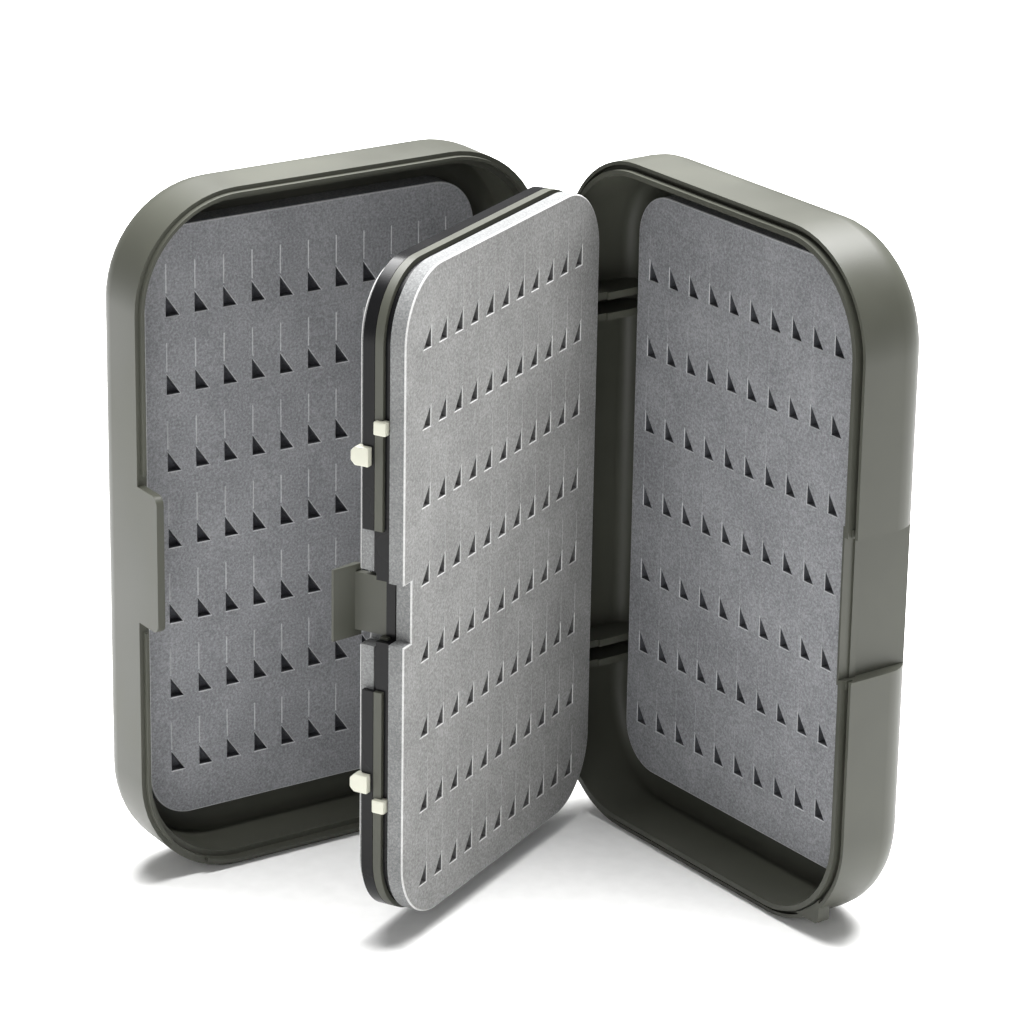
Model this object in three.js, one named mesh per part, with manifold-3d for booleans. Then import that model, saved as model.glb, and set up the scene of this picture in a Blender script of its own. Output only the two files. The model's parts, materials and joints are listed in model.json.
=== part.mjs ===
// Two-sided fly box with a swing leaf. Millimetres, +Z up.
// The box stands on its lower end with the lid and the leaf swung open.
// Everything is laid out closed about the hinge axis (x = 0, y = 0) and then swung open.
// X runs from the hinge side to the latch side, Y runs from the lid's back to the base's back.

import * as THREE from 'three';
import { mergeVertices } from 'three/addons/utils/BufferGeometryUtils.js';
import Module from 'manifold-3d';

const wasm = await Module();
wasm.setup();

// ---- driving dimensions ----

const BOX = {
  height: 152, // along Z
  hingeSide: 3.5, // X of the hinge wall's outer face
  latchSide: 103.5, // X of the latch wall's outer face
  depth: 18.5, // of one half, parting plane to back
  cornerRadius: 24,
  backRadius: 8,
  wall: 2.9,
  floor: 2.2,
  innerBackRadius: 3.6,
};

// Cutters run this far past the faces that they open, and joined solids run this far into each other.
const OVERRUN = 6;
const KNIT = 0.5;

// Facets in a quarter turn: of an outline's corner, and of the box's rounded back edge.
const CORNER_STEPS = 14;
const EDGE_STEPS = 7;

const RIM = {
  gap: 0.15, // half of the closed gap between the two rims
  land: 0.8, // outermost flat of the rim
  grooveEnd: 1.8, // inset where the base's groove ends and its tongue begins
  grooveDepth: 1.5,
  tongueHeight: 0.9,
  ribStart: 0.95, // inset of the lid's rib, which drops into the groove
  ribEnd: 1.65,
  ribHeight: 1.1,
  ridgeRoot: 2.2, // how deep the tongue and the rib run down into the wall
  ribBreak: 0.2, // room that a break in the lid's rib leaves round what it passes
  stepDepth: 1.15, // how far the lid's inner edge steps back to clear the tongue
};

const OPENING = { lid: 92.2, leaf: 64.2 }; // degrees open in the stored pose

const LATCH = {
  height: 31,
  inset: 2.8, // how far the recess is set into the base's latch wall
  skin: 1.8, // thickness of the recess's own wall
  cornerRadius: 2,
  tongueHeight: 30.2,
  tongueReach: 8, // beyond the lid's rim
  tongueRoot: 3,
  tongueThickness: 1.7,
  catchHeight: 0.45, // of the ridge and of the rib that rides over it
  ridgeFrom: 1.6, // depth of the base's ridge below the rim
  ridgeWidth: 1.6,
  ribFrom: 4.9,
  ribWidth: 1.8,
  ribMargin: 4,
};

const FOOT = { from: 15, to: 7, lift: 3.4, thickness: 3, cornerRadius: 1.2 };

const HINGE = {
  centres: [34, 118], // Z of the two knuckle groups
  radius: 2.6,
  bore: 0.96,
  pin: 0.9,
  side: 7, // length of each of the base's knuckles
  middle: 12, // length of the lid's knuckle between them
  gap: 0.35,
  webReach: 1.4, // how far a web runs into its wall
};

const SHELL_FOAM = {
  from: 14.4,
  to: 95.6,
  baseShift: 1.4, // the base's sheet sits this much further from the hinge
  height: 132.8,
  centreZ: 76,
  radius: 10,
  thickness: 5.5,
};

const GLUE = { thickness: 0.15, gap: 0.05, inset: 1.5 };

const LEAF = {
  from: 14.5,
  to: 98.2,
  height: 142,
  centreZ: 75.6,
  radius: 15,
  plate: [-1.85, 0], // Y span of the olive plate
  tray: [-4.6, -1.95], // Y span of the black tray
  trayFloor: 0.5,
  trayWall: 1.2,
  backing: [0.1, 1.2], // Y span of the black backing
  backingInset: 0.9,
  leftFoamThickness: 3.3,
  rightFoamThickness: 3.5,
  foamInset: 0.3,
};

const PIVOT = {
  x: 11.2,
  centres: [35.7, 116.3], // Z of the two brackets
  bore: 0.76,
  pin: 0.7,
  armRadius: 1.85,
  armThickness: 2.4,
  cheekThickness: 1.6,
  gap: 0.35,
  noseRadius: 2, // of each cheek's eye round the pin
  webFront: 0.8, // depth where the web between the eye and the wall begins
  ribFront: 4.2, // depth where a cheek widens into a rib
  ribEnd: 13.8, // X of the rib's outer edge
};

const TAB = {
  height: 12.6, // of the web
  flangeHeight: 15.6,
  centreZ: 75,
  recess: 5.2, // how far the tab's web is set into the leaf's edge
  clearance: 0.4,
  rightNotch: 3.4, // depth of the notch in the backing and the right foam
  openHeight: 35, // where the tray's wall is cut away on each side of the tab
  openDepth: 1.3,
  plateDepth: 2.4, // how far the plate's edge steps back there, behind the backing's ribs
  ribGap: 0.1, // between those ribs and the plate
  thickness: 1.5,
  webSide: 1, // from the leaf's middle to the web's near side
  sideReach: 9.3, // from the leaf's middle to the bend's outer face
  flangeEnd: 99.6,
  flangeLean: 1.7, // how far the flange's tip leans out
  flangeTip: 0.5, // thickness at the flange's tip
};

const CLIP = {
  clearance: 0.08,
  right: { centres: [32.5, 114.6], height: 2.9, y: [-1.7, 1.15], root: 1.3, reach: 1 },
  left: { centres: [37, 108.2], height: 4, y: [-6.7, -2.6], root: 1, reach: 1.4, taper: 1 },
};

const midZ = BOX.height / 2;

// ---- solids ----

function toSolid(geometry) {
  const bare = geometry.clone();
  bare.deleteAttribute('normal');
  bare.deleteAttribute('uv');
  const merged = mergeVertices(bare, 1e-5);
  return new wasm.Manifold(new wasm.Mesh({
    numProp: 3,
    vertProperties: new Float32Array(merged.attributes.position.array),
    triVerts: new Uint32Array(merged.index.array),
  }));
}

function toGeometry(solid) {
  const mesh = solid.getMesh();
  const geometry = new THREE.BufferGeometry();
  geometry.setAttribute('position', new THREE.BufferAttribute(mesh.vertProperties, 3));
  geometry.setIndex(new THREE.BufferAttribute(mesh.triVerts, 1));
  geometry.computeVertexNormals();
  return geometry;
}

function box(x0, x1, y0, y1, z0, z1) {
  const geometry = new THREE.BoxGeometry(x1 - x0, y1 - y0, z1 - z0);
  geometry.translate((x0 + x1) / 2, (y0 + y1) / 2, (z0 + z1) / 2);
  return toSolid(geometry);
}

// A round bar along Z.
function bar(radius, x, y, z0, z1, segments = 28) {
  const geometry = new THREE.CylinderGeometry(radius, radius, z1 - z0, segments);
  geometry.rotateX(Math.PI / 2);
  geometry.translate(x, y, (z0 + z1) / 2);
  return toSolid(geometry);
}

// A rectangle with rounded corners, drawn in X and Z.
function roundedOutline(x0, x1, z0, z1, radius) {
  const shape = new THREE.Shape();
  shape.moveTo(x0 + radius, z0);
  shape.absarc(x1 - radius, z0 + radius, radius, -Math.PI / 2, 0);
  shape.absarc(x1 - radius, z1 - radius, radius, 0, Math.PI / 2);
  shape.absarc(x0 + radius, z1 - radius, radius, Math.PI / 2, Math.PI);
  shape.absarc(x0 + radius, z0 + radius, radius, Math.PI, Math.PI * 1.5);
  return shape;
}

// A flat plate between two Y values.
function plate(shape, y0, y1) {
  const geometry = new THREE.ExtrudeGeometry(shape, {
    depth: y1 - y0,
    bevelEnabled: false,
    curveSegments: CORNER_STEPS,
  });
  geometry.rotateX(Math.PI / 2); // the outline's second axis now runs along +Z
  geometry.translate(0, y1, 0);
  return toSolid(geometry);
}

function roundedPlate(x0, x1, z0, z1, radius, y0, y1) {
  return plate(roundedOutline(x0, x1, z0, z1, radius), y0, y1);
}

// The box's outline, set in by some amount, between two Y values.
function shellPlate(inset, y0, y1) {
  return roundedPlate(
    BOX.hingeSide + inset,
    BOX.latchSide - inset,
    inset,
    BOX.height - inset,
    BOX.cornerRadius - inset,
    y0,
    y1,
  );
}

// One ring of points on the box's outline at a given inset and depth.
function shellRing(inset, y) {
  const radius = BOX.cornerRadius - inset;
  const centres = [
    [BOX.latchSide - BOX.cornerRadius, BOX.cornerRadius, -90],
    [BOX.latchSide - BOX.cornerRadius, BOX.height - BOX.cornerRadius, 0],
    [BOX.hingeSide + BOX.cornerRadius, BOX.height - BOX.cornerRadius, 90],
    [BOX.hingeSide + BOX.cornerRadius, BOX.cornerRadius, 180],
  ];
  const points = [];
  for (const [x, z, startDegrees] of centres) {
    for (let step = 0; step <= CORNER_STEPS; step += 1) {
      const angle = THREE.MathUtils.degToRad(startDegrees + (90 * step) / CORNER_STEPS);
      points.push([x + radius * Math.cos(angle), y, z + radius * Math.sin(angle)]);
    }
  }
  return points;
}

// A closed solid through a stack of rings, with flat ends.
function loft(rings) {
  const count = rings[0].length;
  const positions = rings.flat(2);
  const indices = [];
  for (let ring = 0; ring < rings.length - 1; ring += 1) {
    for (let k = 0; k < count; k += 1) {
      const next = (k + 1) % count;
      const a = ring * count + k;
      const b = ring * count + next;
      const c = (ring + 1) * count + next;
      const d = (ring + 1) * count + k;
      indices.push(a, c, b, a, d, c);
    }
  }
  const last = (rings.length - 1) * count;
  for (let k = 1; k < count - 1; k += 1) {
    indices.push(0, k, k + 1);
    indices.push(last, last + k + 1, last + k);
  }
  const geometry = new THREE.BufferGeometry();
  geometry.setAttribute('position', new THREE.Float32BufferAttribute(positions, 3));
  geometry.setIndex(indices);
  return toSolid(geometry);
}

// A tray-shaped block whose far edge is rounded over.
function roundedBlock(inset, y0, y1, edgeRadius) {
  const rings = [shellRing(inset, y0)];
  for (let step = 0; step <= EDGE_STEPS; step += 1) {
    const angle = (Math.PI / 2) * (step / EDGE_STEPS);
    const ringInset = inset + edgeRadius * (1 - Math.cos(angle));
    const y = y1 - edgeRadius + edgeRadius * Math.sin(angle);
    rings.push(shellRing(ringInset, y));
  }
  return loft(rings);
}

// A flat plate whose outline is drawn in Y and Z, between two X values.
function sideExtrusion(shape, x0, x1) {
  const geometry = new THREE.ExtrudeGeometry(shape, {
    depth: x1 - x0,
    bevelEnabled: false,
    curveSegments: 6,
  });
  const frame = new THREE.Matrix4().makeBasis(
    new THREE.Vector3(0, 1, 0),
    new THREE.Vector3(0, 0, 1),
    new THREE.Vector3(1, 0, 0),
  );
  geometry.applyMatrix4(frame);
  geometry.translate(x0, 0, 0);
  return toSolid(geometry);
}

// An upright block whose outline is drawn in X and Y, centred on one height.
function uprightExtrusion(shape, centreZ, height) {
  const geometry = new THREE.ExtrudeGeometry(shape, { depth: height, bevelEnabled: false });
  geometry.translate(0, 0, centreZ - height / 2);
  return toSolid(geometry);
}

function union(solids) {
  return solids.reduce((sum, solid) => sum.add(solid));
}

function subtractAll(solid, cutters) {
  return cutters.reduce((rest, cutter) => rest.subtract(cutter), solid);
}

// The same solid on the lid's side of the parting plane.
function acrossPartingPlane(solid) {
  const geometry = toGeometry(solid);
  geometry.scale(1, -1, 1);
  geometry.index.array.reverse(); // mirroring alone turns every triangle inside out
  return toSolid(geometry);
}

// ---- shared features ----

function shellBody() {
  return roundedBlock(0, RIM.gap, BOX.depth, BOX.backRadius);
}

function shellCavity() {
  return roundedBlock(BOX.wall, -OVERRUN, BOX.depth - BOX.floor, BOX.innerBackRadius);
}

// The outer and inner outlines of a raised or sunken strip that follows the rim.
function rimStrip(outerInset, innerInset, y0, y1) {
  return shellPlate(outerInset, y0, y1)
    .subtract(shellPlate(innerInset, y0 - KNIT, y1 + KNIT));
}

// Webs and barrels of one shell's knuckles, on the base's side of the parting plane.
function knuckles(spans) {
  const solids = spans.map(([z0, z1]) => union([
    bar(HINGE.radius, 0, 0, z0, z1),
    box(0, BOX.hingeSide + HINGE.webReach, RIM.gap, HINGE.radius, z0, z1),
  ]));
  return union(solids);
}

// Half the height of one group of three knuckles.
function knuckleGroupReach() {
  return HINGE.middle / 2 + HINGE.gap + HINGE.side;
}

function hingeBores() {
  return union(HINGE.centres.map((z) => {
    const reach = knuckleGroupReach() + KNIT;
    return bar(HINGE.bore, 0, 0, z - reach, z + reach);
  }));
}

function baseKnuckleSpans() {
  const near = HINGE.middle / 2 + HINGE.gap;
  return HINGE.centres.flatMap((z) => [
    [z - near - HINGE.side, z - near],
    [z + near, z + near + HINGE.side],
  ]);
}

function lidKnuckleSpans() {
  return HINGE.centres.map((z) => [z - HINGE.middle / 2, z + HINGE.middle / 2]);
}

// Half the height of the wall that bulges in behind the latch's recess.
function latchBulgeReach() {
  return LATCH.height / 2 + LATCH.skin;
}

// ---- base ----

function baseShell() {
  const groove = rimStrip(RIM.land, RIM.grooveEnd, -OVERRUN, RIM.grooveDepth);
  const tongue = shellPlate(RIM.grooveEnd, -RIM.tongueHeight, RIM.ridgeRoot);
  const recessX = BOX.latchSide - LATCH.inset;
  const bulge = box(
    recessX - LATCH.skin,
    BOX.latchSide - BOX.wall / 2,
    RIM.gap,
    BOX.depth - BOX.floor + KNIT,
    midZ - latchBulgeReach(),
    midZ + latchBulgeReach(),
  ).intersect(shellBody());
  const recess = box(
    recessX,
    BOX.latchSide + OVERRUN,
    -OVERRUN,
    BOX.depth + OVERRUN,
    midZ - LATCH.height / 2,
    midZ + LATCH.height / 2,
  );
  const ridge = box(
    recessX - KNIT,
    recessX + LATCH.catchHeight,
    LATCH.ridgeFrom,
    LATCH.ridgeFrom + LATCH.ridgeWidth,
    midZ - LATCH.height / 2 - KNIT,
    midZ + LATCH.height / 2 + KNIT,
  );
  const shell = subtractAll(union([shellBody(), tongue]), [shellCavity(), groove]);
  const walls = union([shell, bulge]).subtract(recess);
  return union([
    walls,
    ridge,
    cornerFoot(),
    leafBrackets(),
    knuckles(baseKnuckleSpans()),
  ]).subtract(hingeBores()).subtract(pivotBores());
}

// The small foot at the rim that fills out the lower latch-side corner.
function cornerFoot() {
  const foot = roundedPlate(
    BOX.latchSide - FOOT.from,
    BOX.latchSide - FOOT.to,
    FOOT.lift,
    BOX.cornerRadius / 2,
    FOOT.cornerRadius,
    RIM.gap,
    RIM.gap + FOOT.thickness,
  );
  return foot.subtract(shellPlate(BOX.wall / 2, -KNIT, BOX.depth));
}

// Two cheeks in each bracket hold the leaf's pivot pin.
// Each is an eye round the pin that widens into a rib down to the floor.
function leafBrackets() {
  const wallX = BOX.hingeSide + BOX.wall - KNIT;
  const eyeEnd = PIVOT.x + PIVOT.noseRadius;
  const floorY = BOX.depth - BOX.floor + KNIT;
  const inner = PIVOT.armThickness / 2 + PIVOT.gap;
  const outer = inner + PIVOT.cheekThickness;
  const solids = PIVOT.centres.flatMap((z) => (
    [[z - outer, z - inner], [z + inner, z + outer]].map(([z0, z1]) => union([
      bar(PIVOT.noseRadius, PIVOT.x, 0, z0, z1),
      box(PIVOT.x - PIVOT.noseRadius, eyeEnd, 0, PIVOT.ribFront + KNIT, z0, z1),
      box(wallX, PIVOT.x, PIVOT.webFront, PIVOT.ribFront + KNIT, z0, z1),
      box(wallX, PIVOT.ribEnd, PIVOT.ribFront, floorY, z0, z1),
    ]))
  ));
  return union(solids);
}

function pivotBores() {
  const reach = PIVOT.armThickness / 2 + PIVOT.gap + PIVOT.cheekThickness + KNIT;
  return union(PIVOT.centres.map((z) => bar(PIVOT.bore, PIVOT.x, 0, z - reach, z + reach)));
}

// ---- lid ----

function lidShell() {
  const step = shellPlate(RIM.ribEnd, -OVERRUN, RIM.gap + RIM.stepDepth);
  const rib = subtractAll(
    rimStrip(RIM.ribStart, RIM.ribEnd, -RIM.ribHeight, RIM.ridgeRoot),
    ribBreaks(),
  );
  const shell = subtractAll(shellBody(), [shellCavity(), step]);
  const tongue = latchTongue();
  const body = union([shell, rib, tongue, knuckles(lidKnuckleSpans())]);
  return acrossPartingPlane(body.subtract(hingeBores()));
}

// The lid's rib stops at the knuckles, the foot and the latch, where the base has no groove.
function ribBreaks() {
  const y0 = -RIM.ribHeight - KNIT;
  const room = RIM.ribBreak;
  const atKnuckles = HINGE.centres.map((z) => box(
    BOX.hingeSide,
    BOX.hingeSide + BOX.wall,
    y0,
    RIM.gap,
    z - knuckleGroupReach() - room,
    z + knuckleGroupReach() + room,
  ));
  const atFoot = box(
    BOX.latchSide - FOOT.from - room,
    BOX.latchSide - FOOT.to + room,
    y0,
    RIM.gap,
    0,
    BOX.cornerRadius / 2,
  );
  const atLatch = box(
    BOX.latchSide - BOX.wall,
    BOX.latchSide,
    y0,
    RIM.gap,
    midZ - latchBulgeReach() - room,
    midZ + latchBulgeReach() + room,
  );
  return [...atKnuckles, atFoot, atLatch];
}

// The springy plate that reaches over the base's recess, drawn on the base's side and mirrored.
function latchTongue() {
  const outer = BOX.latchSide;
  const inner = outer - LATCH.tongueThickness;
  const shape = new THREE.Shape();
  const half = LATCH.tongueHeight / 2;
  const tip = -LATCH.tongueReach;
  const round = LATCH.cornerRadius;
  shape.moveTo(LATCH.tongueRoot, midZ - half);
  shape.lineTo(LATCH.tongueRoot, midZ + half);
  shape.absarc(tip + round, midZ + half - round, round, Math.PI / 2, Math.PI);
  shape.absarc(tip + round, midZ - half + round, round, Math.PI, Math.PI * 1.5);
  const rib = box(
    inner - LATCH.catchHeight,
    inner + KNIT,
    -LATCH.ribFrom - LATCH.ribWidth,
    -LATCH.ribFrom,
    midZ - half + LATCH.ribMargin,
    midZ + half - LATCH.ribMargin,
  );
  return union([sideExtrusion(shape, inner, outer), rib]);
}

// ---- foam and glue ----

function shellFoam(shift = 0) {
  const front = BOX.depth - BOX.floor - 2 * GLUE.gap - GLUE.thickness - SHELL_FOAM.thickness;
  return roundedPlate(
    SHELL_FOAM.from + shift,
    SHELL_FOAM.to + shift,
    SHELL_FOAM.centreZ - SHELL_FOAM.height / 2,
    SHELL_FOAM.centreZ + SHELL_FOAM.height / 2,
    SHELL_FOAM.radius,
    front,
    front + SHELL_FOAM.thickness,
  );
}

function shellGlue(shift = 0) {
  const back = BOX.depth - BOX.floor - GLUE.gap;
  return roundedPlate(
    SHELL_FOAM.from + shift + GLUE.inset,
    SHELL_FOAM.to + shift - GLUE.inset,
    SHELL_FOAM.centreZ - SHELL_FOAM.height / 2 + GLUE.inset,
    SHELL_FOAM.centreZ + SHELL_FOAM.height / 2 - GLUE.inset,
    SHELL_FOAM.radius - GLUE.inset,
    back - GLUE.thickness,
    back,
  );
}

// ---- leaf ----

// The leaf's outline, set in by some amount, between two Y values.
function leafPlate(inset, y0, y1) {
  return roundedPlate(
    LEAF.from + inset,
    LEAF.to - inset,
    LEAF.centreZ - LEAF.height / 2 + inset,
    LEAF.centreZ + LEAF.height / 2 - inset,
    LEAF.radius - inset,
    y0,
    y1,
  );
}

// The notch cut into the leaf's free edge around the finger tab.
function tabNotch(depth, height) {
  return box(
    LEAF.to - depth,
    LEAF.to + OVERRUN,
    -OVERRUN,
    OVERRUN,
    TAB.centreZ - height / 2,
    TAB.centreZ + height / 2,
  );
}

// The notch on the lid's side, where the tab's web passes through.
function leftNotch(extra = 0) {
  return tabNotch(
    TAB.recess + TAB.clearance + extra,
    TAB.flangeHeight + 2 * (TAB.clearance + extra),
  );
}

// The shallower notch on the base's side.
function rightNotch(extra = 0) {
  return tabNotch(TAB.rightNotch + extra, TAB.height + 2 * (TAB.clearance + extra));
}

// The finger tab: a web across the leaf's edge, then a flange that runs outwards.
function fingerTab() {
  const near = -TAB.webSide;
  const webX = LEAF.to - TAB.recess;
  const webEnd = webX + TAB.thickness;
  const bend = -TAB.sideReach;
  const tip = bend - TAB.flangeLean;
  const web = new THREE.Shape([
    new THREE.Vector2(webX, bend),
    new THREE.Vector2(webEnd, bend),
    new THREE.Vector2(webEnd, near),
    new THREE.Vector2(webX, near),
  ]);
  const flange = new THREE.Shape([
    new THREE.Vector2(webX, bend),
    new THREE.Vector2(TAB.flangeEnd, tip),
    new THREE.Vector2(TAB.flangeEnd, tip + TAB.flangeTip),
    new THREE.Vector2(webX, bend + TAB.thickness),
  ]);
  return union([
    uprightExtrusion(web, TAB.centreZ, TAB.height),
    uprightExtrusion(flange, TAB.centreZ, TAB.flangeHeight),
  ]);
}

function leafPlateWithArms() {
  const [y0, y1] = LEAF.plate;
  const webX = LEAF.to - TAB.recess;
  const half = TAB.height / 2;
  const solids = [
    subtractAll(leafPlate(0, y0, y1), [
      tabNotch(TAB.recess, TAB.height),
      tabNotch(TAB.plateDepth, TAB.openHeight),
    ]),
    box(webX - KNIT, webX + KNIT, y0, y1, TAB.centreZ - half, TAB.centreZ + half),
    fingerTab(),
  ];
  for (const z of PIVOT.centres) {
    const arm0 = z - PIVOT.armThickness / 2;
    const arm1 = z + PIVOT.armThickness / 2;
    solids.push(bar(PIVOT.armRadius, PIVOT.x, 0, arm0, arm1));
    solids.push(box(PIVOT.x, LEAF.from + KNIT, y0, y1, arm0, arm1));
  }
  return subtractAll(union(solids), [pivotBores(), ...clipSlots(CLIP.right)]);
}

function leafTray() {
  const [y0, y1] = LEAF.tray;
  return subtractAll(leafPlate(0, y0, y1), [
    leafPlate(LEAF.trayWall, y0 - OVERRUN, y1 - LEAF.trayFloor),
    leftNotch(),
    tabNotch(TAB.openDepth, TAB.openHeight),
    ...clipSlots(CLIP.left),
  ]);
}

// Ribs on the backing fill the step in the plate's edge and the room behind the tab's web.
function backingRibs() {
  const front = LEAF.backing[0] + KNIT;
  const stepHalf = TAB.openHeight / 2 - TAB.ribGap;
  const webHalf = TAB.height / 2 - TAB.ribGap;
  const step = box(
    LEAF.to - TAB.plateDepth + TAB.ribGap,
    LEAF.to - LEAF.backingInset,
    LEAF.plate[0],
    front,
    TAB.centreZ - stepHalf,
    TAB.centreZ + stepHalf,
  );
  const behindWeb = box(
    LEAF.to - TAB.recess + KNIT + TAB.ribGap,
    LEAF.to - TAB.rightNotch,
    TAB.ribGap - TAB.webSide,
    front,
    TAB.centreZ - webHalf,
    TAB.centreZ + webHalf,
  );
  return union([step.subtract(rightNotch()), behindWeb]);
}

function leafBacking() {
  const sheet = subtractAll(leafPlate(LEAF.backingInset, ...LEAF.backing), [
    rightNotch(),
    ...clipSlots(CLIP.right),
  ]);
  return union([sheet, backingRibs()]);
}

function leafGlueLeft() {
  const back = LEAF.tray[1] - LEAF.trayFloor - GLUE.gap;
  return leafPlate(LEAF.trayWall + GLUE.inset, back - GLUE.thickness, back)
    .subtract(leftNotch(GLUE.inset));
}

function leafFoamLeft() {
  const back = LEAF.tray[1] - LEAF.trayFloor - 2 * GLUE.gap - GLUE.thickness;
  return leafPlate(LEAF.trayWall + LEAF.foamInset, back - LEAF.leftFoamThickness, back)
    .subtract(leftNotch());
}

function leafGlueRight() {
  const front = LEAF.backing[1] + GLUE.gap;
  return leafPlate(LEAF.backingInset + GLUE.inset, front, front + GLUE.thickness)
    .subtract(rightNotch(GLUE.inset));
}

function leafFoamRight() {
  const front = LEAF.backing[1] + 2 * GLUE.gap + GLUE.thickness;
  return leafPlate(LEAF.foamInset, front, front + LEAF.rightFoamThickness)
    .subtract(rightNotch());
}

// The slots in the leaf's free edge that one set of clips sits in.
function clipSlots(clip) {
  return clip.centres.map((z) => box(
    LEAF.to - clip.root - CLIP.clearance,
    LEAF.to + OVERRUN,
    clip.y[0] - CLIP.clearance,
    clip.y[1] + CLIP.clearance,
    z - clip.height / 2 - CLIP.clearance,
    z + clip.height / 2 + CLIP.clearance,
  ));
}

// A plain snap hook on the free edge.
function rightClip(z) {
  const { height, y, root, reach } = CLIP.right;
  return box(LEAF.to - root, LEAF.to + reach, y[0], y[1], z - height / 2, z + height / 2);
}

// A snap hook that tapers towards the lid and laps over the foam's edge.
function leftClip(z) {
  const { height, y, root, reach, taper } = CLIP.left;
  const half = height / 2;
  const shape = new THREE.Shape();
  shape.moveTo(y[1], z - half);
  shape.lineTo(y[1], z + half);
  shape.lineTo(y[0] + taper, z + half);
  shape.lineTo(y[0], z + half - taper);
  shape.lineTo(y[0], z - half + taper);
  shape.lineTo(y[0] + taper, z - half);
  return sideExtrusion(shape, LEAF.to - root, LEAF.to + reach);
}

// ---- pins ----

function hingePin(z) {
  const reach = knuckleGroupReach();
  return bar(HINGE.pin, 0, 0, z - reach, z + reach);
}

function pivotPin(z) {
  const reach = PIVOT.armThickness / 2 + PIVOT.gap + PIVOT.cheekThickness;
  return bar(PIVOT.pin, PIVOT.x, 0, z - reach, z + reach);
}

// ---- assembly ----

const FINISHES = {
  olivePlastic: { color: 0x7e7f76, roughness: 0.42 },
  blackPlastic: { color: 0x2b2b2e, roughness: 0.3 },
  ivoryPlastic: { color: 0xe0e0d2, roughness: 0.4 },
  shellFoam: { color: 0x6e6f72, roughness: 0.95 },
  leafFoam: { color: 0x8c8c8a, roughness: 0.95 },
  glue: { color: 0xd8d4c4, roughness: 0.6 },
  steel: { color: 0xb4b6b8, roughness: 0.3, metalness: 1 },
};

const group = new THREE.Group();
group.name = 'fly_box';

// The opened box, which is moved onto its footprint at the end.
const opened = new THREE.Group();
const base = new THREE.Group();
const lid = new THREE.Group();
const leaf = new THREE.Group();
const leafParts = new THREE.Group();
group.add(opened);
opened.add(base, lid, leaf);
lid.rotation.z = -THREE.MathUtils.degToRad(OPENING.lid);
leaf.rotation.z = -THREE.MathUtils.degToRad(OPENING.leaf);
leaf.position.x = PIVOT.x;
leafParts.position.x = -PIVOT.x; // the leaf's parts are drawn about the hinge axis
leaf.add(leafParts);

function place(body, name, finish, solid) {
  const mesh = new THREE.Mesh(toGeometry(solid), new THREE.MeshStandardMaterial(FINISHES[finish]));
  mesh.name = name;
  mesh.material.name = name;
  body.add(mesh);
}

place(base, 'base_shell', 'olivePlastic', baseShell());
place(base, 'base_foam_glue', 'glue', shellGlue(SHELL_FOAM.baseShift));
place(base, 'base_foam', 'shellFoam', shellFoam(SHELL_FOAM.baseShift));
place(lid, 'lid_shell', 'olivePlastic', lidShell());
place(lid, 'lid_foam_glue', 'glue', acrossPartingPlane(shellGlue()));
place(lid, 'lid_foam', 'shellFoam', acrossPartingPlane(shellFoam()));
place(leafParts, 'leaf_plate', 'olivePlastic', leafPlateWithArms());
place(leafParts, 'leaf_tray', 'blackPlastic', leafTray());
place(leafParts, 'leaf_backing', 'blackPlastic', leafBacking());
place(leafParts, 'leaf_glue_left', 'glue', leafGlueLeft());
place(leafParts, 'leaf_foam_left', 'leafFoam', leafFoamLeft());
place(leafParts, 'leaf_glue_right', 'glue', leafGlueRight());
place(leafParts, 'leaf_foam_right', 'leafFoam', leafFoamRight());

const levels = ['lower', 'upper'];
levels.forEach((level, k) => {
  place(base, `hinge_pin_${level}`, 'steel', hingePin(HINGE.centres[k]));
  place(base, `pivot_pin_${level}`, 'steel', pivotPin(PIVOT.centres[k]));
  place(leafParts, `clip_right_${level}`, 'ivoryPlastic', rightClip(CLIP.right.centres[k]));
  place(leafParts, `clip_left_${level}`, 'ivoryPlastic', leftClip(CLIP.left.centres[k]));
});

// Stand the part on Z = 0 with the middle of its footprint at the origin.
group.updateMatrixWorld(true);
const bounds = new THREE.Box3().setFromObject(group, true);
const middle = bounds.getCenter(new THREE.Vector3());
opened.position.set(-middle.x, -middle.y, -bounds.min.z);

export default group;
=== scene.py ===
import json
import math

import bpy
from mathutils import Matrix, Vector


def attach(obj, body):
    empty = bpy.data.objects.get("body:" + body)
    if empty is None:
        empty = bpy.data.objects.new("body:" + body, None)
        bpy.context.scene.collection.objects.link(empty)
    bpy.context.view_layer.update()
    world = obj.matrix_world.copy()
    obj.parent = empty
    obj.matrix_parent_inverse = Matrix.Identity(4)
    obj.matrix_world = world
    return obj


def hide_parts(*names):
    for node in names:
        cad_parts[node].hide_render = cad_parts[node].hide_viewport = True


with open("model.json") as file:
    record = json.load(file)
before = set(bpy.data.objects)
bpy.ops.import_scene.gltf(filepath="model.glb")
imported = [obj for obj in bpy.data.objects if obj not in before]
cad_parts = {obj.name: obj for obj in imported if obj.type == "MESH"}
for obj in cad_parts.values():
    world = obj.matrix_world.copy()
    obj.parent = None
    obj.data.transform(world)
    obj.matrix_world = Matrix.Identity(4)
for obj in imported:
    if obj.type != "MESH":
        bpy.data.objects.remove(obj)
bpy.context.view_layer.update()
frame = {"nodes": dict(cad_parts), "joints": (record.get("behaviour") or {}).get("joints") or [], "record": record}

MM = 0.001
JOINTS = {joint["name"]: joint for joint in frame["joints"]}
BODY_OF = {
    node: body
    for body, members in frame["record"]["behaviour"]["bodies"].items()
    for node in members
}

# ---- driving dimensions, in millimetres on the closed box ----
# X runs from the hinge side to the latch side, Y from the lid's back to the base's back, Z up.

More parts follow.
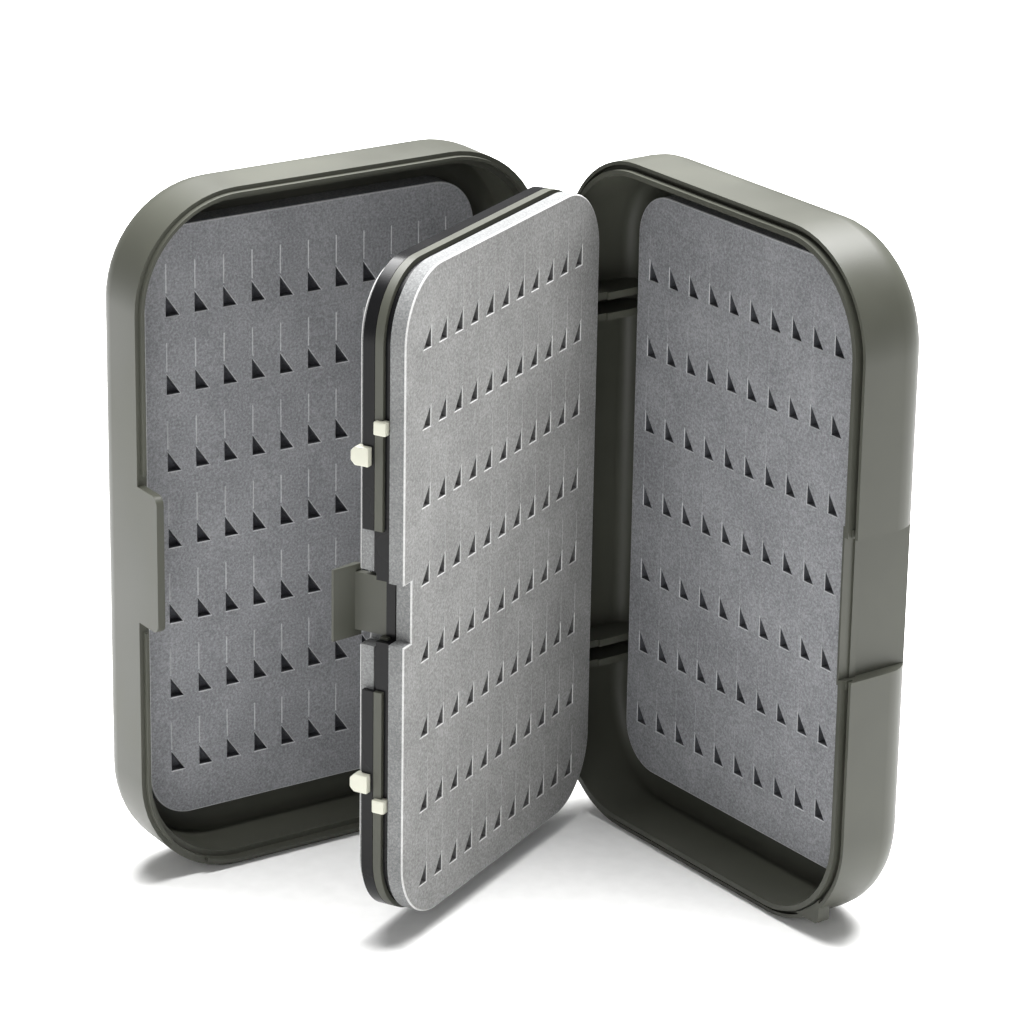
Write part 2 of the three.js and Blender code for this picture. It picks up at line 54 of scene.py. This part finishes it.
POCKET = {
    "width": 3.2,  # of the right-angled triangle that is punched for each hook
    "height": 4.5,
    "below": 1.6,  # from the lattice point down to the triangle's foot
    "depth": 2.1,
    "lip": 0.17,  # how far the punch has rounded the foam's skin over at the edge
    "flare": 2.1,  # how much wider the triangle is at the skin, counted in lips
    "over": 1,  # how far the punch stands out of the foam
}
CREASE = {  # the knife slit above each triangle, a shallow V
    "length": 6.6,
    "gap": 0.15,  # from the pocket's lip
    "depth": 0.22,
    "floor": (0.04, 1, 0.92),  # the V's bottom as a share of its mouth, along X, Y and Z
}
COLUMNS = 11
SHELL_LATTICE = {"step_x": 6.88, "z": 124.5, "step_z": 17.14, "rows": 7}
LEAF_LATTICE = {"x": 23.75, "step_x": 6.485, "z": 131.25, "step_z": 16.75, "rows": 8}
LATTICES = {  # the first pocket, the steps and the rows; x and z are on the closed box
    "base_foam": {"x": 20.9, "crease": 0.08, **SHELL_LATTICE},
    "lid_foam": {"x": 20.5, "crease": 0.34, **SHELL_LATTICE},
    "leaf_foam_right": {"crease": 0.1, **LEAF_LATTICE},
    "leaf_foam_left": {"crease": 0.1, **LEAF_LATTICE},
}
FOAM_EDGE = 0.3  # radius of a sheet's die-cut edge
MOULD_EDGES = {  # radius on the moulded parts' edges
    "base_shell": 0.22,
    "lid_shell": 0.22,
    "leaf_plate": 0.2,
    "leaf_tray": 0.2,
    "leaf_backing": 0.2,
    "clip": 0.3,
    "pin": 0.12,
}
ROUNDING = 3  # facets across a sheet's edge
MOULD_ROUNDING = 2  # facets across a moulded edge

# ---- angles in degrees, and slack ----

SHEET_SMOOTH = 12  # a sheet's corners turn by less than this from facet to facet
MOULD_SMOOTH = 34  # a moulding's rounded corners turn by less, and its true edges by more
FLAT = 0.4  # faces that turn by less are one flat
WELD = 0.002 * MM  # points closer than this are one point
SLACK = 0.01 * MM  # allowed when two positions should agree
FACING = 0.97  # a normal's Y on a face that looks along Y
SIDEWAYS = 0.1  # a normal's Y on a face that looks across it

# ---- plastic and foam, in millimetres between features ----

FLOW_MARKS = 28
GLOSS_SWING = (-0.04, 0.05)  # how roughness varies with the flow marks
SKIN_DEPTH = 0.02  # of the moulded skin's texture
CELL_DEPTH = 0.12  # of the foam's broken cells
FOAM_CLOUDS = 14
FOAM_CLOUD_SHARE = 0.22  # of the foam's speckle that comes from the broad clouds
TAPE_FIBRES = 1.2
WIRE_LINES = 0.15
PAPER_TOOTH = 4

# ---- the studio, in metres and watts ----

LIGHT_AIM = (0, 0, 0.08)
LIGHTS = {  # place, size, watts
    "overhead_soft_box": ((-0.2, 0.25, 1.0), (1.0, 1.0), 62),
    "front_soft_box": ((0.9, -0.95, 0.5), (0.7, 0.7), 4.6),
    "right_soft_box": ((1.2, 0.35, 0.45), (0.7, 1.1), 1.2),
    "left_soft_box": ((-0.45, -1.25, 0.4), (0.7, 1.1), 1.0),
}
WORLD = {"fill": 0.24, "seen": 1}  # the white studio's strength as a light, and as a backdrop
FLOOR = {"size": 8, "z": -0.0002}  # just under the object, so that the two don't flicker
CAMERA = {
    "yaw": 53.873,  # degrees, from looking along +Y
    "pitch": 20.304,
    "roll": 0.955,
    "distance": 975.43,  # millimetres
    "aim": (-26.005, 8.553, 55.983),  # millimetres on the closed layout, from the hinge axis
    "lens": 150.5,
    "sensor": 36,
    "nearest": 0.01,  # metres; nothing closer is drawn
}

# ---- where each body's closed layout lies in the opened frame ----


def axis_point(joint):
    """The move from the origin to a vertical joint axis, along the floor."""
    x, y, _ = JOINTS[joint]["pos_m"]
    return Matrix.Translation((x, y, 0))


def swing(joint):
    """The turn from closed to open, which is the joint's upper limit undone."""
    return Matrix.Rotation(-math.radians(JOINTS[joint]["range_deg"][1]), 4, "Z")


def leaf_angle():
    """The leaf follows the lid at the stated ratio."""
    ratio = frame["record"]["behaviour"]["couplings"][0]["ratio"]
    return -math.radians(JOINTS["lid_hinge"]["range_deg"][1]) * ratio


def leaf_placement():
    """Moves the leaf's pivot to the origin, turns it and puts it back on its open axis."""
    hinge = Vector(JOINTS["lid_hinge"]["pos_m"])
    pivot = Vector(JOINTS["leaf_hinge"]["pos_m"])
    back = Matrix.Translation(-(pivot - hinge))
    return axis_point("leaf_hinge") @ Matrix.Rotation(leaf_angle(), 4, "Z") @ back


PLACEMENT = {
    "base": axis_point("lid_hinge"),
    "lid": axis_point("lid_hinge") @ swing("lid_hinge"),
    "leaf": leaf_placement(),
}

# ---- small helpers ----


def deselect():
    """Leaves edit mode, with nothing selected."""
    if bpy.context.object and bpy.context.object.mode != "OBJECT":
        bpy.ops.object.mode_set(mode="OBJECT")
    bpy.ops.object.select_all(action="DESELECT")


def pick(piece):
    """Makes a piece the only selected one, and the active one."""
    deselect()
    piece.select_set(True)
    bpy.context.view_layer.objects.active = piece


def edit(piece, mode):
    """Opens a piece in edit mode with nothing selected."""
    pick(piece)
    bpy.ops.object.mode_set(mode="EDIT")
    bpy.ops.mesh.select_mode(type=mode)
    bpy.ops.mesh.select_all(action="DESELECT")


def choose_faces(piece, wanted):
    """Selects only the faces whose normal a test accepts."""
    bpy.ops.mesh.select_all(action="DESELECT")
    bpy.ops.object.mode_set(mode="OBJECT")
    for face in piece.data.polygons:
        face.select = wanted(face.normal)
    bpy.ops.object.mode_set(mode="EDIT")


def choose_edges(piece, wanted):
    """Selects only the edges that a test on their two ends accepts."""
    bpy.ops.mesh.select_all(action="DESELECT")
    bpy.ops.object.mode_set(mode="OBJECT")
    points = piece.data.vertices
    for edge in piece.data.edges:
        a, b = edge.vertices
        edge.select = wanted(points[a].co, points[b].co)
    bpy.ops.object.mode_set(mode="EDIT")


def block(name, low, high):
    """A cube primitive stretched between two corners."""
    deselect()
    bpy.ops.mesh.primitive_cube_add(size=1, location=(low + high) / 2)
    piece = bpy.context.object
    piece.name = name
    piece.data.name = name
    piece.scale = high - low
    bpy.ops.object.transform_apply(location=True, rotation=False, scale=True)
    return piece


def finish_modifier(piece, kind, settings):
    """Adds a modifier and applies it."""
    pick(piece)
    modifier = piece.modifiers.new(kind.title(), kind)
    for name, value in settings.items():
        setattr(modifier, name, value)
    bpy.ops.object.modifier_apply(modifier=modifier.name)


def skin_y(node, front):
    """Where a CAD sheet's slit face lies in the closed layout. front is the side that it faces."""
    undo = PLACEMENT[BODY_OF[node]].inverted()
    heights = [(undo @ vertex.co).y for vertex in frame["nodes"][node].data.vertices]
    return max(heights) if front > 0 else min(heights)


def copy_of(node, name):
    """An editable copy of a CAD node, with its loose triangles joined and its flats cleaned."""
    piece = bpy.data.objects.new(name, frame["nodes"][node].data.copy())
    bpy.context.scene.collection.objects.link(piece)
    piece.data.materials.clear()
    edit(piece, "VERT")
    bpy.ops.mesh.select_all(action="SELECT")
    bpy.ops.mesh.remove_doubles(threshold=WELD)
    bpy.ops.mesh.dissolve_limited(angle_limit=math.radians(FLAT))
    bpy.ops.mesh.customdata_custom_splitnormals_clear()
    bpy.ops.object.mode_set(mode="OBJECT")
    return piece


# ---- materials ----


def linear(code):
    """An sRGB hex colour as linear red, green, blue and alpha."""
    parts = [int(code[k:k + 2], 16) / 255 for k in (1, 3, 5)]
    curve = [p / 12.92 if p <= 0.04045 else ((p + 0.055) / 1.055) ** 2.4 for p in parts]
    return (*curve, 1)


def new_material(name, **settings):
    """A material with its Principled shader's sockets set; returns the material, tree and shader."""
    material = bpy.data.materials.new(name)
    material.use_nodes = True
    tree = material.node_tree
    shader = tree.nodes["Principled BSDF"]
    for socket, value in settings.items():
        shader.inputs[socket.replace("_", " ")].default_value = value
    return material, tree, shader


def add(tree, kind, settings=None, inputs=None):
    """Adds a node, with its settings and its inputs' values or links."""
    node = tree.nodes.new(kind)
    for name, value in (settings or {}).items():
        setattr(node, name, value)
    for socket, value in (inputs or {}).items():
        if isinstance(value, bpy.types.NodeSocket):
            tree.links.new(value, node.inputs[socket])
        else:
            node.inputs[socket].default_value = value
    return node


def per_feature(millimetres):
    """A texture's scale for features of a real size."""
    return 1 / (millimetres * MM)


def ramp(tree, factor, stops):
    """A colour ramp through (position, hex colour) stops."""
    stops = list(stops)
    node = add(tree, "ShaderNodeValToRGB", {}, {0: factor})
    elements = node.color_ramp.elements
    elements[0].position = stops[0][0]
    elements[1].position = stops[-1][0]
    for position, _ in stops[1:-1]:
        elements.new(position)
    for element, (_, code) in zip(elements, stops):
        element.color = linear(code)
    return node.outputs[0]


def moulded_plastic(name, colours, roughness, texture_mm, specular=0.5):
    """Injection-moulded ABS or acetal: a satin skin with a faint sparked texture and flow marks.
    The texture breaks the highlights up, and the flow marks keep broad faces from looking flat."""
    material, tree, shader = new_material(
        name, Roughness=roughness, IOR=1.53, Specular_IOR_Level=specular
    )
    place = add(tree, "ShaderNodeTexCoord").outputs["Object"]
    flow = add(
        tree,
        "ShaderNodeTexNoise",
        {},
        {"Vector": place, "Scale": per_feature(FLOW_MARKS), "Detail": 3, "Roughness": 0.5},
    )
    colour = ramp(tree, flow.outputs[0], zip((0.3, 0.5, 0.7), colours))
    tree.links.new(colour, shader.inputs["Base Color"])
    skin = add(
        tree,
        "ShaderNodeTexNoise",
        {},
        {"Vector": place, "Scale": per_feature(texture_mm), "Detail": 2, "Roughness": 0.6},
    )
    gloss = add(
        tree,
        "ShaderNodeMapRange",
        {},
        {
            "Value": flow.outputs[0],
            "From Min": 0.3,
            "From Max": 0.7,
            "To Min": roughness + GLOSS_SWING[0],
            "To Max": roughness + GLOSS_SWING[1],
        },
    )
    tree.links.new(gloss.outputs[0], shader.inputs["Roughness"])
    bump = add(
        tree,
        "ShaderNodeBump",
        {},
        {"Strength": 0.25, "Distance": SKIN_DEPTH * MM, "Height": skin.outputs[0]},
    )
    tree.links.new(bump.outputs[0], shader.inputs["Normal"])
    return material


def closed_cell_foam(name, colours, cell_mm, strength):
    """Cross-linked EVA foam, skived from a block: fine broken cells that speckle it and scatter light.
    The real cells are about 0.2 mm across, and are drawn coarser so that they show."""
    material, tree, shader = new_material(name, Roughness=0.9, IOR=1.45, Specular_IOR_Level=0.25)
    place = add(tree, "ShaderNodeTexCoord").outputs["Object"]
    cells = add(
        tree,
        "ShaderNodeTexNoise",
        {},
        {"Vector": place, "Scale": per_feature(cell_mm), "Detail": 4, "Roughness": 0.75},
    )
    cloud = add(
        tree,
        "ShaderNodeTexNoise",
        {},
        {"Vector": place, "Scale": per_feature(FOAM_CLOUDS), "Detail": 3, "Roughness": 0.6},
    )
    both = add(
        tree,
        "ShaderNodeMix",
        {"data_type": "FLOAT"},
        {"Factor": FOAM_CLOUD_SHARE, "A": cells.outputs[0], "B": cloud.outputs[0]},
    )
    colour = ramp(tree, both.outputs[0], zip((0.36, 0.5, 0.64), colours))
    tree.links.new(colour, shader.inputs["Base Color"])
    bump = add(
        tree,
        "ShaderNodeBump",
        {},
        {"Strength": strength, "Distance": CELL_DEPTH * MM, "Height": cells.outputs[0]},
    )
    tree.links.new(bump.outputs[0], shader.inputs["Normal"])
    return material


def adhesive_film():
    """Double-sided acrylic tape: cream and slightly milky, with fine fibres in its carrier."""
    material, tree, shader = new_material("acrylic_adhesive_film", Roughness=0.55, IOR=1.47)
    place = add(tree, "ShaderNodeTexCoord").outputs["Object"]
    fibres = add(
        tree,
        "ShaderNodeTexNoise",
        {},
        {"Vector": place, "Scale": per_feature(TAPE_FIBRES), "Detail": 3, "Distortion": 1.5},
    )
    colour = ramp(tree, fibres.outputs[0], [(0.35, "#CFC9B6"), (0.65, "#E2DDCD")])
    tree.links.new(colour, shader.inputs["Base Color"])
    return material


def drawn_steel():
    """Drawn steel wire: bright, with fine lines along its length."""
    material, tree, shader = new_material("drawn_steel_wire", Metallic=1, Roughness=0.28)
    place = add(tree, "ShaderNodeTexCoord").outputs["Object"]
    along = add(tree, "ShaderNodeMapping", {}, {"Vector": place, "Scale": (1, 1, 0.02)})
    lines = add(
        tree,
        "ShaderNodeTexNoise",
        {},
        {"Vector": along.outputs[0], "Scale": per_feature(WIRE_LINES), "Detail": 2},
    )
    colour = ramp(tree, lines.outputs[0], [(0.3, "#A9ABAD"), (0.7, "#C9CBCC")])
    tree.links.new(colour, shader.inputs["Base Color"])
    return material


OLIVE = moulded_plastic("moulded_olive_abs", ("#3A3B34", "#3F4039", "#44453D"), 0.46, 0.5, 0.25)
BLACK = moulded_plastic("moulded_black_abs", ("#0E0E0F", "#111112", "#151516"), 0.24, 0.7, 0.12)
IVORY = moulded_plastic("moulded_ivory_acetal", ("#A9A99B", "#B1B1A3", "#B9B9AB"), 0.34, 0.5)
SHELL_FOAM = closed_cell_foam("eva_foam_dark_grey", ("#67686B", "#7E7F82", "#949598"), 0.5, 0.6)
LEAF_FOAM = closed_cell_foam("eva_foam_light_grey", ("#6E6E6D", "#828281", "#989897"), 0.55, 0.6)
# Paler greys painted on the rounded edges, the pockets' lips and the slits: a painted highlight where the edges
# catch light.
SHELL_EDGE_HIGHLIGHT = closed_cell_foam("eva_foam_dark_grey_painted_highlight", ("#9A9B9D", "#A8A9AB", "#B6B7B9"), 0.5, 0.3)
LEAF_EDGE_HIGHLIGHT = closed_cell_foam("eva_foam_light_grey_painted_highlight", ("#A6A6A5", "#B4B4B3", "#C2C2C1"), 0.5, 0.3)
# Darker greys painted on the sheets' cut sides: painted shade, not a different foam.
SHELL_SIDE_SHADE = closed_cell_foam("eva_foam_dark_grey_side_painted_shade", ("#5C5D60", "#707174", "#86878A"), 0.5, 0.6)
LEAF_SIDE_SHADE = closed_cell_foam("eva_foam_light_grey_side_painted_shade", ("#5D5E5E", "#6F7070", "#858686"), 0.45, 0.7)
# Much darker greys painted on the pockets' walls and floors: painted shade inside the pockets.
SHELL_POCKET_SHADE = closed_cell_foam("eva_foam_dark_grey_painted_pocket_shade", ("#3C3D41", "#46474B", "#505155"), 0.5, 0.3)
LEAF_POCKET_SHADE = closed_cell_foam("eva_foam_light_grey_painted_pocket_shade", ("#4A4A4A", "#565656", "#626262"), 0.5, 0.3)
FILM = adhesive_film()
STEEL = drawn_steel()

# ---- slit foam sheets ----


def pocket_punch(front, side):
    """The punch for one hook pocket: a right-angled wedge that flares at the foam's skin.
    It is drawn on Y = 0 with a third of its width on one side of the lattice point. front is the
    side that the sheet faces, and side is the way that the triangle's foot points along X."""
    width = POCKET["width"] * MM
    height = POCKET["height"] * MM
    foot = -POCKET["below"] * MM
    upright = -side * width / 3
    toe = upright + side * width
    skin = -front * POCKET["lip"] * MM
    bottom = -front * POCKET["depth"] * MM
    low = Vector((min(upright, toe), min(skin, bottom), foot))
    high = Vector((max(upright, toe), max(skin, bottom), foot + height))
    punch = block("pocket_punch", low, high)
    edit(punch, "FACE")
    bpy.ops.mesh.select_all(action="SELECT")
    bpy.ops.mesh.bisect(
        plane_co=(toe, 0, foot),
        plane_no=Vector((side / width, 0, 1 / height)).normalized(),
        use_fill=True,
        clear_outer=True,
    )
    choose_faces(punch, lambda normal: normal.y * front > FACING)
    middle = Vector((upright + side * width / 3, skin, foot + height / 3))
    flare = 1 + POCKET["flare"] * POCKET["lip"] / POCKET["width"]
    bpy.ops.mesh.extrude_region_move(
        TRANSFORM_OT_translate={"value": (0, front * POCKET["lip"] * MM, 0)}
    )
    bpy.ops.transform.resize(value=(flare, 1, flare), center_override=middle)
    bpy.ops.mesh.extrude_region_move(
        TRANSFORM_OT_translate={"value": (0, front * POCKET["over"] * MM, 0)}
    )
    bpy.ops.object.mode_set(mode="OBJECT")
    return punch


def crease_punch(front, side, width_mm):
    """The punch for the knife slit above a pocket: a shallow V along Z. It stands as far out of
    the foam as it goes in, so its block is twice as wide as the slit is at the skin."""
    x = -side * POCKET["width"] * MM / 3
    foot = (POCKET["height"] - POCKET["below"] + POCKET["lip"] * 2 + CREASE["gap"]) * MM
    width = width_mm * MM
    bottom = -front * CREASE["depth"] * MM
    top = front * CREASE["depth"] * MM
    low = Vector((x - width, min(bottom, top), foot))
    high = Vector((x + width, max(bottom, top), foot + CREASE["length"] * MM))
    punch = block("crease_punch", low, high)
    edit(punch, "FACE")
    choose_faces(punch, lambda normal: normal.y * front < -FACING)
    middle = (x, bottom, (low.z + high.z) / 2)
    bpy.ops.transform.resize(value=CREASE["floor"], center_override=middle)
    bpy.ops.object.mode_set(mode="OBJECT")
    return punch


def paint_punch(punch, wall_shade, lip, is_lip):
    """The faces that a test accepts get the paler grey of a painted highlight, and the others the darker grey of
    painted shade on the pocket's walls.
    """
    punch.data.materials.append(wall_shade)
    punch.data.materials.append(lip)
    for face in punch.data.polygons:
        face.material_index = 1 if is_lip(face) else 0


def punch_field(node, front, side, wall_shade, lip):
    """All of one sheet's punches, joined into one cutter on the closed box."""
    lattice = LATTICES[node]
    face_y = skin_y(node, front)
    lip_foot = -front * POCKET["lip"] * MM
    pocket = pocket_punch(front, side)
    # The lip's faces get a painted highlight, and the pocket's walls and floor get painted shade.
    paint_punch(pocket, wall_shade, lip, lambda face: (face.center.y - lip_foot) * front > SLACK)
    crease = crease_punch(front, side, lattice["crease"])
    # The whole slit is drawn in the pale grey of the painted highlight.
    paint_punch(crease, wall_shade, lip, lambda face: True)
    copies = []
    for column in range(COLUMNS):
        for row in range(lattice["rows"]):
            x = (lattice["x"] + column * lattice["step_x"]) * MM
            z = (lattice["z"] - row * lattice["step_z"]) * MM
            for punch in (pocket, crease):
                copy = punch.copy()
                copy.data = punch.data.copy()
                copy.data.transform(Matrix.Translation((x, face_y, z)))
                bpy.context.scene.collection.objects.link(copy)
                copies.append(copy)
    bpy.data.objects.remove(pocket)
    bpy.data.objects.remove(crease)
    pick(copies[0])
    for copy in copies:
        copy.select_set(True)
    bpy.ops.object.join()
    return bpy.context.object


def paint_sheet(sheet, foam, side, lip):
    """The skin keeps the foam's own grey, its sides get a darker grey as painted shade, and the rounded edge gets
    a paler grey as a painted highlight.
    """
    for material in (foam, side, lip):
        sheet.data.materials.append(material)
    for face in sheet.data.polygons:
        lean = abs(face.normal.y)
        if lean > FACING:
            face.material_index = 0
        elif lean < SIDEWAYS:
            face.material_index = 1
        else:
            face.material_index = 2


# edge is the darker grey of painted shade on the sides, wall_shade is the painted shade in the pockets, and lip is
# the painted highlight on edges, lips and slits.
def foam_sheet(node, name, front, side, foam, edge, wall_shade, lip, slot):
    """A die-cut sheet of foam with its field of hook pockets and knife slits."""
    sheet = copy_of(node, name)
    sheet.data.transform(PLACEMENT[BODY_OF[node]].inverted())
    face_y = skin_y(node, front)
    edit(sheet, "EDGE")
    choose_edges(sheet, lambda a, b: max(abs(a.y - face_y), abs(b.y - face_y)) < SLACK)
    bpy.ops.mesh.bevel(offset=FOAM_EDGE * MM, segments=ROUNDING, profile=0.5, affect="EDGES")
    bpy.ops.object.mode_set(mode="OBJECT")
    paint_sheet(sheet, foam, edge, lip)
    field = punch_field(node, front, side, wall_shade, lip)
    finish_modifier(
        sheet,
        "BOOLEAN",
        {"operation": "DIFFERENCE", "object": field, "solver": "EXACT", "material_mode": "TRANSFER"},
    )
    bpy.data.objects.remove(field)
    sheet.data.transform(PLACEMENT[BODY_OF[node]])
    pick(sheet)
    bpy.ops.object.shade_smooth_by_angle(angle=math.radians(SHEET_SMOOTH))
    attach(sheet, BODY_OF[node])
    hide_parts(node)


# ---- moulded and metal parts ----


def softened(node, name, material, edge_mm):
    """A moulded part with the small radius that its mould leaves on each edge."""
    piece = copy_of(node, name)
    piece.data.materials.append(material)
    edit(piece, "FACE")
    bpy.ops.mesh.select_all(action="SELECT")
    bpy.ops.mesh.vert_connect_concave()
    bpy.ops.object.mode_set(mode="OBJECT")
    finish_modifier(
        piece,
        "BEVEL",
        {
            "width": edge_mm * MM,
            "segments": MOULD_ROUNDING,
            "limit_method": "ANGLE",
            "angle_limit": math.radians(MOULD_SMOOTH),
            "use_clamp_overlap": True,
            "miter_outer": "MITER_ARC",
        },
    )
    pick(piece)
    bpy.ops.object.shade_smooth_by_angle(angle=math.radians(MOULD_SMOOTH))
    finish_modifier(piece, "WEIGHTED_NORMAL", {"keep_sharp": True})
    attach(piece, BODY_OF[node])
    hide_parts(node)


def build_box():
    """Every moulded and metal part, each in place of its CAD node."""
    softened("base_shell", "base_half_shell", OLIVE, MOULD_EDGES["base_shell"])
    softened("lid_shell", "lid_half_shell", OLIVE, MOULD_EDGES["lid_shell"])
    softened("leaf_plate", "leaf_frame", OLIVE, MOULD_EDGES["leaf_plate"])
    softened("leaf_tray", "leaf_black_tray", BLACK, MOULD_EDGES["leaf_tray"])
    softened("leaf_backing", "leaf_black_backing", BLACK, MOULD_EDGES["leaf_backing"])
    for level in ("lower", "upper"):
        for side in ("left", "right"):
            node = f"clip_{side}_{level}"
            softened(node, f"snap_{side}_{level}", IVORY, MOULD_EDGES["clip"])
        for kind in ("hinge", "pivot"):
            node = f"{kind}_pin_{level}"
            softened(node, f"{kind}_wire_{level}", STEEL, MOULD_EDGES["pin"])


def build_foam():
    """The four sheets: which way each one faces, and which way its triangles point."""
    shell = (SHELL_FOAM, SHELL_SIDE_SHADE, SHELL_POCKET_SHADE, SHELL_EDGE_HIGHLIGHT, "shell_foam")
    leaf = (LEAF_FOAM, LEAF_SIDE_SHADE, LEAF_POCKET_SHADE, LEAF_EDGE_HIGHLIGHT, "leaf_foam")
    foam_sheet("base_foam", "base_slit_foam", -1, 1, *shell)
    foam_sheet("lid_foam", "lid_slit_foam", 1, -1, *shell)
    foam_sheet("leaf_foam_right", "leaf_slit_foam_right", 1, 1, *leaf)
    foam_sheet("leaf_foam_left", "leaf_slit_foam_left", -1, -1, *leaf)


def paint_glue():
    """The films stay as they are in CAD, with a better material."""
    for node, piece in frame["nodes"].items():
        if "glue" in node:
            piece.data.materials.clear()
            piece.data.materials.append(FILM)


# ---- stage, light and camera ----


def floor_material():
    """A matt paper sweep: near white, with a faint tooth that keeps it from looking like a void."""
    material, tree, shader = new_material("white_paper_sweep", Roughness=0.9)
    place = add(tree, "ShaderNodeTexCoord").outputs["Object"]
    tooth = add(
        tree,
        "ShaderNodeTexNoise",
        {},
        {"Vector": place, "Scale": per_feature(PAPER_TOOTH), "Detail": 2},
    )
    colour = ramp(tree, tooth.outputs[0], [(0.3, "#F1F1F0"), (0.7, "#F6F6F5")])
    tree.links.new(colour, shader.inputs["Base Color"])
    return material


def build_floor():
    deselect()
    bpy.ops.mesh.primitive_plane_add(size=FLOOR["size"], location=(0, 0, FLOOR["z"]))
    floor = bpy.context.object
    floor.name = "floor"
    floor.data.materials.append(floor_material())


def area_light(name, place, size, watts):
    """A white soft box that looks at the object's middle."""
    data = bpy.data.lights.new(name, "AREA")
    data.shape = "RECTANGLE"
    data.size, data.size_y = size
    data.energy = watts
    lamp = bpy.data.objects.new(name, data)
    bpy.context.scene.collection.objects.link(lamp)
    lamp.location = place
    lamp.rotation_euler = (Vector(LIGHT_AIM) - Vector(place)).to_track_quat("-Z", "Y").to_euler()


def build_lights():
    """Four soft boxes in a white studio, which the camera sees brighter than it lights."""
    for name, (place, size, watts) in LIGHTS.items():
        area_light(name, place, size, watts)
    world = bpy.data.worlds.new("white_studio")
    world.use_nodes = True
    tree = world.node_tree
    seen = add(tree, "ShaderNodeLightPath").outputs["Is Camera Ray"]
    strength = add(
        tree,
        "ShaderNodeMix",
        {"data_type": "FLOAT"},
        {"Factor": seen, "A": WORLD["fill"], "B": WORLD["seen"]},
    )
    sky = tree.nodes["Background"]
    sky.inputs["Color"].default_value = (1, 1, 1, 1)
    tree.links.new(strength.outputs[0], sky.inputs["Strength"])
    bpy.context.scene.world = world
    bpy.context.scene.view_settings.view_transform = "Standard"


def build_camera():
    """The camera stands back from its aim along the view, rolled about it."""
    yaw, pitch, roll = (math.radians(CAMERA[key]) for key in ("yaw", "pitch", "roll"))
    level = Vector((-math.sin(yaw), math.cos(yaw), 0))
    right = Vector((math.cos(yaw), math.sin(yaw), 0))
    ahead = math.cos(pitch) * level - Vector((0, 0, math.sin(pitch)))
    up = math.sin(pitch) * level + Vector((0, 0, math.cos(pitch)))
    rolled_right = math.cos(roll) * right + math.sin(roll) * up
    rolled_up = math.cos(roll) * up - math.sin(roll) * right
    aim = PLACEMENT["base"] @ (Vector(CAMERA["aim"]) * MM)
    turn = Matrix((rolled_right, rolled_up, -ahead)).transposed().to_4x4()
    data = bpy.data.cameras.new("camera")
    data.lens = CAMERA["lens"]
    data.sensor_width = CAMERA["sensor"]
    data.clip_start = CAMERA["nearest"]
    camera = bpy.data.objects.new("camera", data)
    bpy.context.scene.collection.objects.link(camera)
    camera.matrix_world = Matrix.Translation(aim - ahead * CAMERA["distance"] * MM) @ turn
    bpy.context.scene.camera = camera


build_box()
build_foam()
paint_glue()
build_floor()
build_lights()
build_camera()
